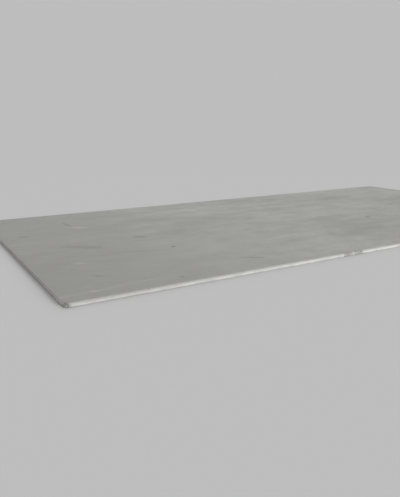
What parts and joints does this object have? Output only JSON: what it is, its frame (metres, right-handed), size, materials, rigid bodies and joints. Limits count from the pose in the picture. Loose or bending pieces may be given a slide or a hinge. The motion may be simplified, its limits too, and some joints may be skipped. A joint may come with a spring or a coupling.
{
  "type": "drywall sheet",
  "caption": "Paper-faced gypsum wall sheet with tapered half-round long edges and square cut ends, lying flat on its back.",
  "frame": {"origin": "centre of the underside, where the back liner rests on the floor", "axes": "+X along the sheet's length, +Y across its width, +Z out of the finished face"},
  "size_m": [2.4, 1.2, 0.0125],
  "materials": {
    "lined_board": "matte"
  },
  "bodies": {
    "root": {"drywall_sheet": "lined_board"}
  },
  "joints": []
}
